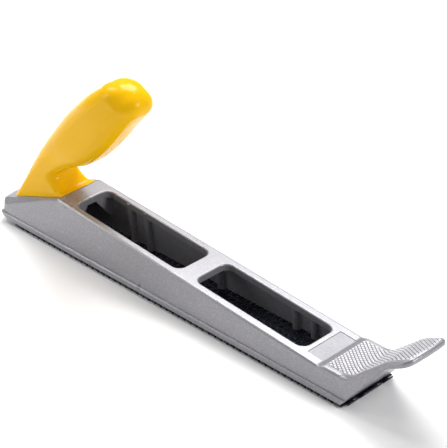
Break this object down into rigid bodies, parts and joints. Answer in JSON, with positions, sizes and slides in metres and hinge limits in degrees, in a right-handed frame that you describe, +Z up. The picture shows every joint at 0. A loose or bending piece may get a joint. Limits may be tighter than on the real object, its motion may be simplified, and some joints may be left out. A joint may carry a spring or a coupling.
{
  "type": "rasp plane",
  "caption": "Convertible rasp plane: cast body with open windows over a long perforated blade, turning handle on a heel ramp and thumb rest at the nose.",
  "frame": {"origin": "middle of the tool's length and width, at the tooth tips", "axes": "+X along the blade towards the nose, +Y to the tool's left, +Z up from the work"},
  "size_m": [0.3028, 0.0394, 0.111],
  "materials": {
    "cast_paint": "satin silver paint on a die casting",
    "blade_steel": "blackened hardened steel",
    "label": "satin",
    "handle_plastic": "gloss moulded",
    "zinc_steel": "zinc plated",
    "dark_steel": "phosphated"
  },
  "bodies": {
    "body": {"body_casting": "cast_paint", "perforated_blade": "blade_steel", "label_plate": "label", "tension_washer": "zinc_steel"},
    "handle": {"handle_grip": "handle_plastic", "handle_nut": "zinc_steel"},
    "washers": {"handle_flat_washer": "zinc_steel", "handle_spring_washer": "zinc_steel"},
    "bolt": {"handle_bolt": "zinc_steel"},
    "shoe": {"tension_shoe": "dark_steel"},
    "tension_screw": {"tension_screw": "zinc_steel"}
  },
  "joints": [
    {"name": "handle_turn", "type": "hinge", "parent": "body", "child": "handle", "pos_m": [-0.11962, 0, 0.02245], "axis": [-0.3576, 0, 0.9339], "range_deg": [0, 180]},
    {"name": "washer_drop", "type": "slide", "parent": "body", "child": "washers", "axis": [0.3576, 0, -0.9339], "range_m": [0, 0.001]},
    {"name": "bolt_spin", "type": "hinge", "parent": "washers", "child": "bolt", "pos_m": [-0.11962, 0, 0.02245], "axis": [0.3576, 0, -0.9339], "range_deg": [0, 360]},
    {"name": "tension_spin", "type": "hinge", "parent": "body", "child": "tension_screw", "pos_m": [-0.14913, 0, 0.0059], "axis": [-1, 0, 0], "range_deg": [0, 1440]},
    {"name": "shoe_slide", "type": "slide", "parent": "body", "child": "shoe", "axis": [1, 0, 0], "range_m": [0, 0.0032]}
  ],
  "couplings": [
    {"joint": "bolt_spin", "follows": "washer_drop", "rad_per_m": 6283.2},
    {"joint": "tension_spin", "follows": "shoe_slide", "rad_per_m": 7854}
  ]
}
